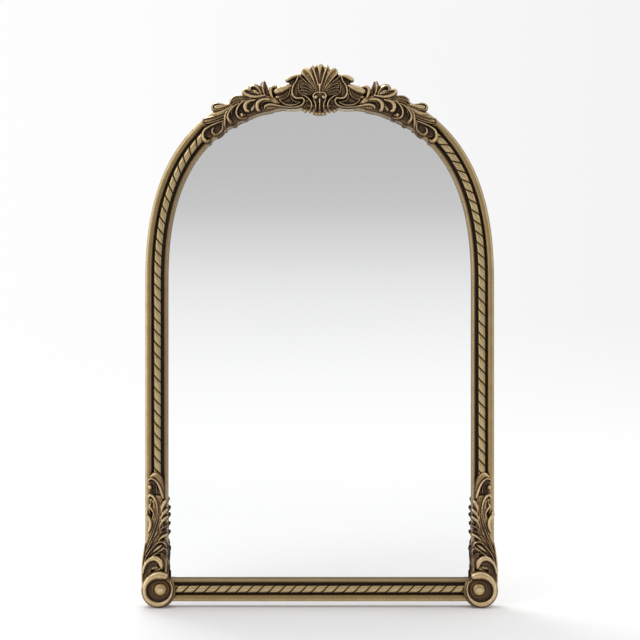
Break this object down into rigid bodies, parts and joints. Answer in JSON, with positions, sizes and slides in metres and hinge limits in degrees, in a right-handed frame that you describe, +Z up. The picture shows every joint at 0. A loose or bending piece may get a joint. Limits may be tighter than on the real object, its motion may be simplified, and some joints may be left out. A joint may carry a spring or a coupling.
{
  "type": "arched decorative mirror",
  "caption": "Arched mirror in a gilt moulded frame with rope beads, a shell crest, leaf sprays and scroll feet, with swinging rings behind to hang it.",
  "frame": {"origin": "on the floor, midway between the scroll feet and midway from the front of the ornament to the back of the bumpers", "axes": "+X to the right as seen from the front, +Y from the glass towards the wall, +Z up"},
  "size_m": [0.61, 0.0434, 0.9313],
  "materials": {
    "gilt_wood": "antique gold leaf, rubbed, over a dark brown glaze in the grooves",
    "gilt_rope": "antique gold leaf, brighter on the strands and dark in the cuts",
    "gilt_ornament": "cast ornament in antique gold, rubbed bright on the high places and dark brown in the hollows",
    "mirror": "clear silvered glass",
    "board": "plain brown fibreboard",
    "dowel_wood": "plain beech",
    "steel": "zinc plated",
    "rubber": "matt black"
  },
  "bodies": {
    "frame": {"acanthus_spray_left": "gilt_ornament", "acanthus_spray_right": "gilt_ornament", "arch_rail_left": "gilt_wood", "arch_rail_right": "gilt_wood", "back_screw_bottom_left": "steel", "back_screw_bottom_right": "steel", "back_screw_shoulder_left": "steel", "back_screw_shoulder_right": "steel", "back_screw_side_left": "steel", "back_screw_side_right": "steel", "back_screw_top_left": "steel", "back_screw_top_right": "steel", "backing_board": "board", "bottom_rail": "gilt_wood", "bumper_lower_left": "rubber", "bumper_lower_right": "rubber", "bumper_upper_left": "rubber", "bumper_upper_right": "rubber", "corner_leaf_left": "gilt_ornament", "corner_leaf_right": "gilt_ornament", "crest_scroll_left": "gilt_ornament", "crest_scroll_right": "gilt_ornament", "crest_shell": "gilt_ornament", "crown_dowel": "dowel_wood", "foot_scroll_left": "gilt_ornament", "foot_scroll_right": "gilt_ornament", "hanger_screw_lower_left": "steel", "hanger_screw_lower_right": "steel", "hanger_screw_upper_left": "steel", "hanger_screw_upper_right": "steel", "hanger_strap_left": "steel", "hanger_strap_right": "steel", "mirror_glass": "mirror", "mitre_dowel_left": "dowel_wood", "mitre_dowel_right": "dowel_wood", "rope_bead_arch_left": "gilt_rope", "rope_bead_arch_right": "gilt_rope", "rope_bead_bottom": "gilt_rope", "rope_bead_side_left": "gilt_rope", "rope_bead_side_right": "gilt_rope", "scroll_boss_left": "gilt_ornament", "scroll_boss_right": "gilt_ornament", "scroll_dowel_left": "dowel_wood", "scroll_dowel_right": "dowel_wood", "side_rail_left": "gilt_wood", "side_rail_right": "gilt_wood", "spring_dowel_left": "dowel_wood", "spring_dowel_right": "dowel_wood"},
    "ring_left": {"hanger_ring_left": "steel"},
    "ring_right": {"hanger_ring_right": "steel"}
  },
  "joints": [
    {"name": "ring_swing_left", "type": "hinge", "parent": "frame", "child": "ring_left", "pos_m": [-0.27853, 0.01825, 0.64], "axis": [1, 0, 0], "range_deg": [0, 180]},
    {"name": "ring_swing_right", "type": "hinge", "parent": "frame", "child": "ring_right", "pos_m": [0.27853, 0.01825, 0.64], "axis": [1, 0, 0], "range_deg": [0, 180]}
  ]
}
